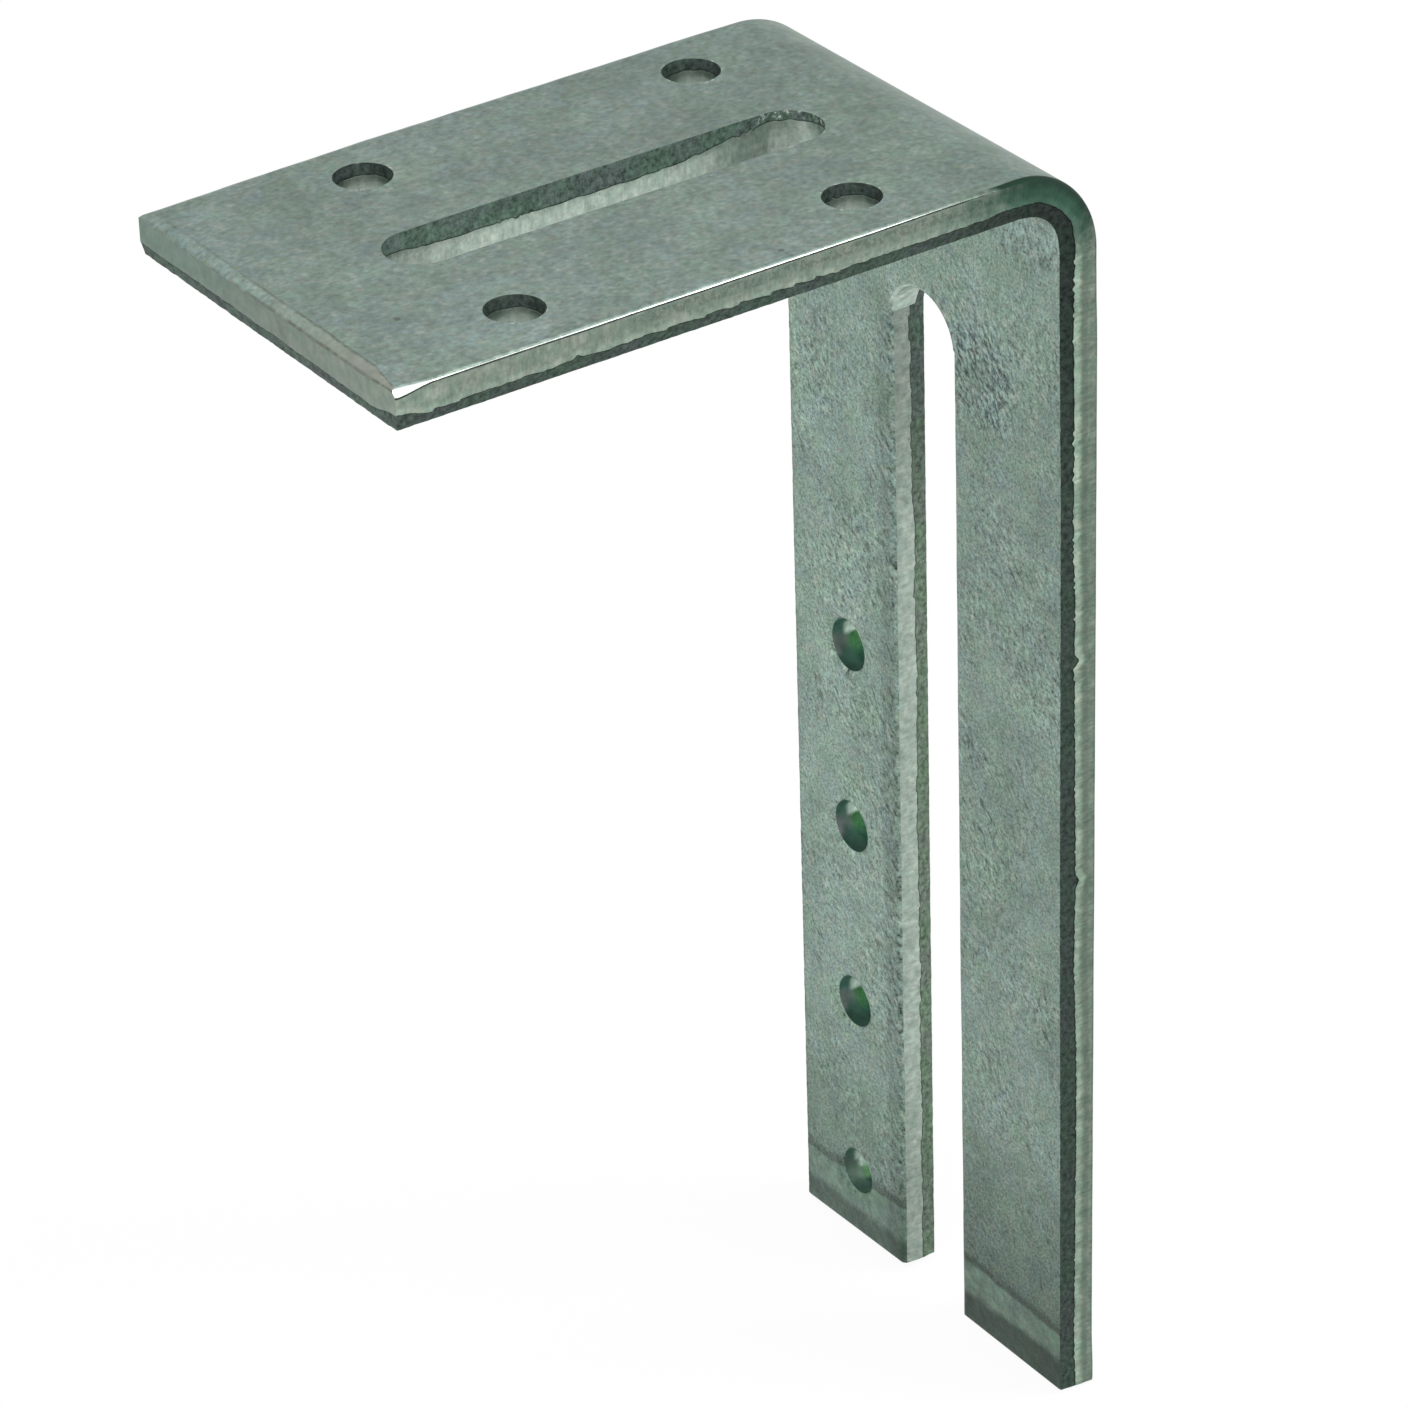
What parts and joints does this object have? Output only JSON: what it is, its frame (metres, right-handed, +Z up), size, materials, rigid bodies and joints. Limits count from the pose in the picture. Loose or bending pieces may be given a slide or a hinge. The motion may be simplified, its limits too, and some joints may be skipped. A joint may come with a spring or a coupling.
{
  "type": "angle anchor",
  "caption": "Galvanised steel plate folded to a right angle: a slotted leg with screw holes, and a long forked leg whose open slot takes an anchor bolt.",
  "frame": {"origin": "bolt seat: centre of the open slot's round end, on the wall face of the fork leg", "axes": "+X across the strip, away from the tine with screw holes; +Y out of the wall face; +Z up towards the top leg's outer face"},
  "size_m": [0.065, 0.11, 0.2],
  "materials": {
    "galvanised_steel": "satin"
  },
  "bodies": {
    "root": {"angle_anchor": "galvanised_steel"}
  },
  "joints": []
}
